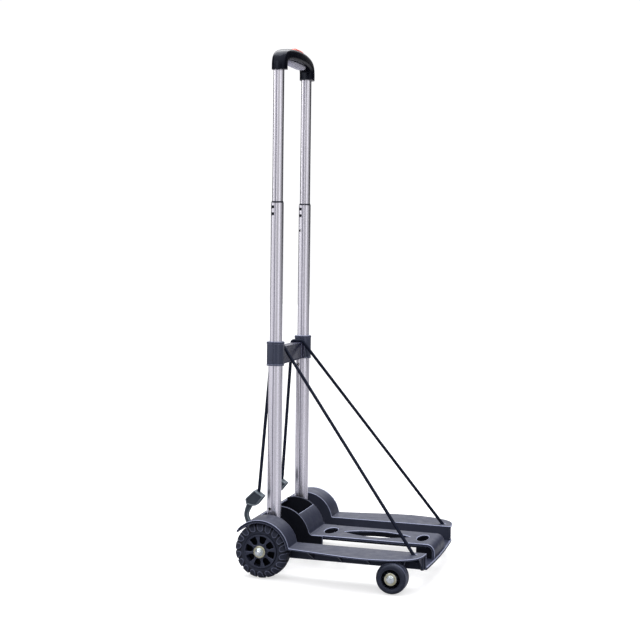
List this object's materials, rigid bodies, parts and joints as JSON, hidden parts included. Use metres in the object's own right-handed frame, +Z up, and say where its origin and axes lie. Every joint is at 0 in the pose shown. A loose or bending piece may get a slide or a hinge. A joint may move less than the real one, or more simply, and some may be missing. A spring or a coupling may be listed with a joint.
{
  "type": "folding luggage cart",
  "caption": "Folding luggage cart: moulded deck on two large and two small wheels, telescopic twin-tube handle hinged on the rear axle, elastic cords hooked to the tail.",
  "frame": {"origin": "on the floor, under the centre of the whole cart's bounding box", "axes": "+Z up, -Y towards the front of the deck, +X across the cart, to the right of a person pulling it who faces -Y"},
  "size_m": [0.383, 0.3586, 0.9887],
  "materials": {
    "deck_plastic": "moulded, light sheen",
    "grip_plastic": "gloss",
    "slate_plastic": "satin",
    "tyre_rubber": "matte",
    "tube_aluminium": "satin anodised",
    "zinc_steel": "zinc plated",
    "cord_sheath": "woven",
    "insert_plastic": "satin",
    "button_plastic": "gloss"
  },
  "bodies": {
    "platform": {"deck_frame": "deck_plastic", "rear_axle": "zinc_steel", "rear_washer_l": "zinc_steel", "rear_washer_r": "zinc_steel", "rear_nut_l": "zinc_steel", "rear_nut_r": "zinc_steel", "front_bolt_l": "zinc_steel", "front_bolt_r": "zinc_steel", "front_washer_l": "zinc_steel", "front_washer_r": "zinc_steel", "front_nut_l": "zinc_steel", "front_nut_r": "zinc_steel", "cord_l": "cord_sheath", "cord_r": "cord_sheath", "cord_knot_l": "cord_sheath", "cord_knot_r": "cord_sheath", "hook_l": "slate_plastic", "hook_r": "slate_plastic"},
    "handle": {"tube_foot_l": "grip_plastic", "tube_foot_r": "grip_plastic", "outer_tube_l": "tube_aluminium", "outer_tube_r": "tube_aluminium", "crossbrace": "slate_plastic"},
    "middle_stage": {"middle_tube_l": "tube_aluminium", "middle_tube_r": "tube_aluminium", "collar_l": "grip_plastic", "collar_r": "grip_plastic", "rivet_upper_outside_l": "grip_plastic", "rivet_upper_inside_l": "grip_plastic", "rivet_lower_outside_l": "grip_plastic", "rivet_lower_inside_l": "grip_plastic", "rivet_upper_outside_r": "grip_plastic", "rivet_upper_inside_r": "grip_plastic", "rivet_lower_outside_r": "grip_plastic", "rivet_lower_inside_r": "grip_plastic", "lower_pin_l": "zinc_steel", "lower_pin_r": "zinc_steel"},
    "inner_stage": {"inner_tube_l": "tube_aluminium", "inner_tube_r": "tube_aluminium", "upper_pin_l": "zinc_steel", "upper_pin_r": "zinc_steel", "grip_body": "grip_plastic", "grip_insert": "insert_plastic"},
    "release": {"release_button": "button_plastic", "release_yoke": "insert_plastic", "push_rod_l": "zinc_steel", "push_rod_r": "zinc_steel"},
    "rear_wheel_l": {"rear_tyre_l": "tyre_rubber", "rear_hub_l": "deck_plastic"},
    "rear_wheel_r": {"rear_tyre_r": "tyre_rubber", "rear_hub_r": "deck_plastic"},
    "front_wheel_l": {"front_tyre_l": "tyre_rubber", "front_hub_l": "grip_plastic"},
    "front_wheel_r": {"front_tyre_r": "tyre_rubber", "front_hub_r": "grip_plastic"}
  },
  "joints": [
    {"name": "handle_fold", "type": "hinge", "parent": "platform", "child": "handle", "pos_m": [0, 0.12775, 0.0515], "axis": [1, 0, 0], "range_deg": [0, 90], "deforming": ["cord_l", "cord_r"]},
    {"name": "middle_slide", "type": "slide", "parent": "handle", "child": "middle_stage", "axis": [0, 0, -1], "range_m": [0, 0.258]},
    {"name": "inner_slide", "type": "slide", "parent": "middle_stage", "child": "inner_stage", "axis": [0, 0, -1], "range_m": [0, 0.241]},
    {"name": "button_press", "type": "slide", "parent": "inner_stage", "child": "release", "axis": [0, 0, -1], "range_m": [0, 0.0035], "stiffness_N_per_m": 800, "springref_m": -0.0015},
    {"name": "rear_wheel_l_spin", "type": "hinge", "parent": "platform", "child": "rear_wheel_l", "pos_m": [-0.145, 0.12775, 0.0515], "axis": [1, 0, 0], "continuous": true},
    {"name": "front_wheel_l_spin", "type": "hinge", "parent": "platform", "child": "front_wheel_l", "pos_m": [-0.173, -0.12525, 0.0285], "axis": [1, 0, 0], "continuous": true},
    {"name": "rear_wheel_r_spin", "type": "hinge", "parent": "platform", "child": "rear_wheel_r", "pos_m": [0.145, 0.12775, 0.0515], "axis": [1, 0, 0], "continuous": true},
    {"name": "front_wheel_r_spin", "type": "hinge", "parent": "platform", "child": "front_wheel_r", "pos_m": [0.173, -0.12525, 0.0285], "axis": [1, 0, 0], "continuous": true}
  ]
}
